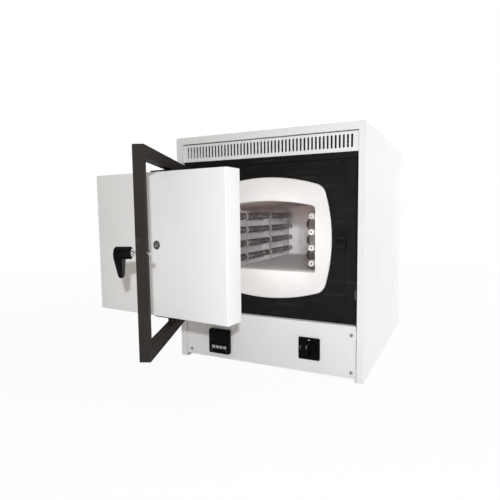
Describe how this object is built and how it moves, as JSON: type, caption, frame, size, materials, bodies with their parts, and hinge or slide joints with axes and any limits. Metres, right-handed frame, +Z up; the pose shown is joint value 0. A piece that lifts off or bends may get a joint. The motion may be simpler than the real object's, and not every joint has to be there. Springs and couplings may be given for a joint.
{
  "type": "muffle furnace",
  "caption": "Bench muffle furnace: white sheet-steel body, black front plate, bulged white fibre collar round an arched heated chamber, and a white door hung in a black swing-out yoke.",
  "frame": {"origin": "centre of the body's base, on the surface that the furnace stands on", "axes": "+X to the right seen from the front, +Y to the back, +Z up; the door and its yoke stand open at rest"},
  "size_m": [0.4901, 0.8638, 0.515],
  "materials": {
    "white_powder_coat": "satin",
    "black_paint": "satin",
    "galvanised_sheet": "satin",
    "zinc_plated_steel": "satin",
    "heat_proof_steel": "satin",
    "ceramic_fibre": "matte",
    "porcelain": "satin",
    "resistance_wire": "matte",
    "black_plastic": "satin",
    "key_plastic": "satin",
    "dark_window": "gloss",
    "bright_chrome": "polished"
  },
  "bodies": {
    "furnace": {"casing": "white_powder_coat", "rear_panel": "white_powder_coat", "vent_grille": "white_powder_coat", "control_panel": "white_powder_coat", "base_tray": "galvanised_sheet", "inner_shell": "galvanised_sheet", "shell_rails": "galvanised_sheet", "plate_clip": "galvanised_sheet", "rear_screws": "zinc_plated_steel", "side_screws": "zinc_plated_steel", "control_screws": "zinc_plated_steel", "plate_screws": "black_paint", "front_plate": "black_paint", "latch_catch": "black_paint", "hinge_brackets": "black_paint", "hinge_pins": "black_paint", "chamber_collar": "ceramic_fibre", "muffle": "ceramic_fibre", "insulation_jacket": "ceramic_fibre", "heater_tubes_left": "porcelain", "heater_tubes_right": "porcelain", "combs_left": "porcelain", "combs_right": "porcelain", "lead_ferrules": "porcelain", "terminal_block": "porcelain", "heater_coils_left": "resistance_wire", "heater_coils_right": "resistance_wire", "heater_leads": "resistance_wire", "thermocouple": "heat_proof_steel", "power_relay": "black_plastic", "cable_gland": "black_plastic", "controller": "black_plastic", "switch_base": "black_plastic", "controller_window": "dark_window"},
    "yoke": {"yoke_frame": "black_paint", "pivot_bushes": "black_paint", "pivot_pins": "zinc_plated_steel"},
    "door": {"door_shell": "white_powder_coat", "door_tabs": "black_paint", "door_filling": "ceramic_fibre", "door_pad": "ceramic_fibre", "door_back_frame": "galvanised_sheet", "door_bolt": "zinc_plated_steel"},
    "lever": {"lever_grip": "black_plastic", "lever_insert": "bright_chrome", "latch_shaft": "bright_chrome"},
    "knob": {"switch_knob": "black_plastic"},
    "key_1": {"key_1": "key_plastic"},
    "key_2": {"key_2": "key_plastic"},
    "key_3": {"key_3": "key_plastic"},
    "key_4": {"key_4": "key_plastic"}
  },
  "joints": [
    {"name": "yoke_hinge", "type": "hinge", "parent": "furnace", "child": "yoke", "pos_m": [-0.188, -0.25, 0.28], "axis": [0, 0, 1], "range_deg": [-54, 65.7]},
    {"name": "door_swivel", "type": "hinge", "parent": "yoke", "child": "door", "pos_m": [-0.11063, -0.42134, 0.285], "axis": [0, 0, 1], "range_deg": [-61.4, 50.6]},
    {"name": "lever_turn", "type": "hinge", "parent": "yoke", "child": "lever", "pos_m": [-0.0415, -0.57446, 0.284], "axis": [-0.9114, -0.4115, 0], "range_deg": [0, 90]},
    {"name": "knob_turn", "type": "hinge", "parent": "furnace", "child": "knob", "pos_m": [0.1048, -0.26, 0.0563], "axis": [0, 1, 0], "range_deg": [0, 90]},
    {"name": "key_1_press", "type": "slide", "parent": "furnace", "child": "key_1", "axis": [0, 1, 0], "range_m": [0, 0.0015], "stiffness_N_per_m": 300},
    {"name": "key_2_press", "type": "slide", "parent": "furnace", "child": "key_2", "axis": [0, 1, 0], "range_m": [0, 0.0015], "stiffness_N_per_m": 300},
    {"name": "key_3_press", "type": "slide", "parent": "furnace", "child": "key_3", "axis": [0, 1, 0], "range_m": [0, 0.0015], "stiffness_N_per_m": 300},
    {"name": "key_4_press", "type": "slide", "parent": "furnace", "child": "key_4", "axis": [0, 1, 0], "range_m": [0, 0.0015], "stiffness_N_per_m": 300}
  ],
  "couplings": [
    {"joint": "door_swivel", "follows": "yoke_hinge", "ratio": -0.93151}
  ]
}
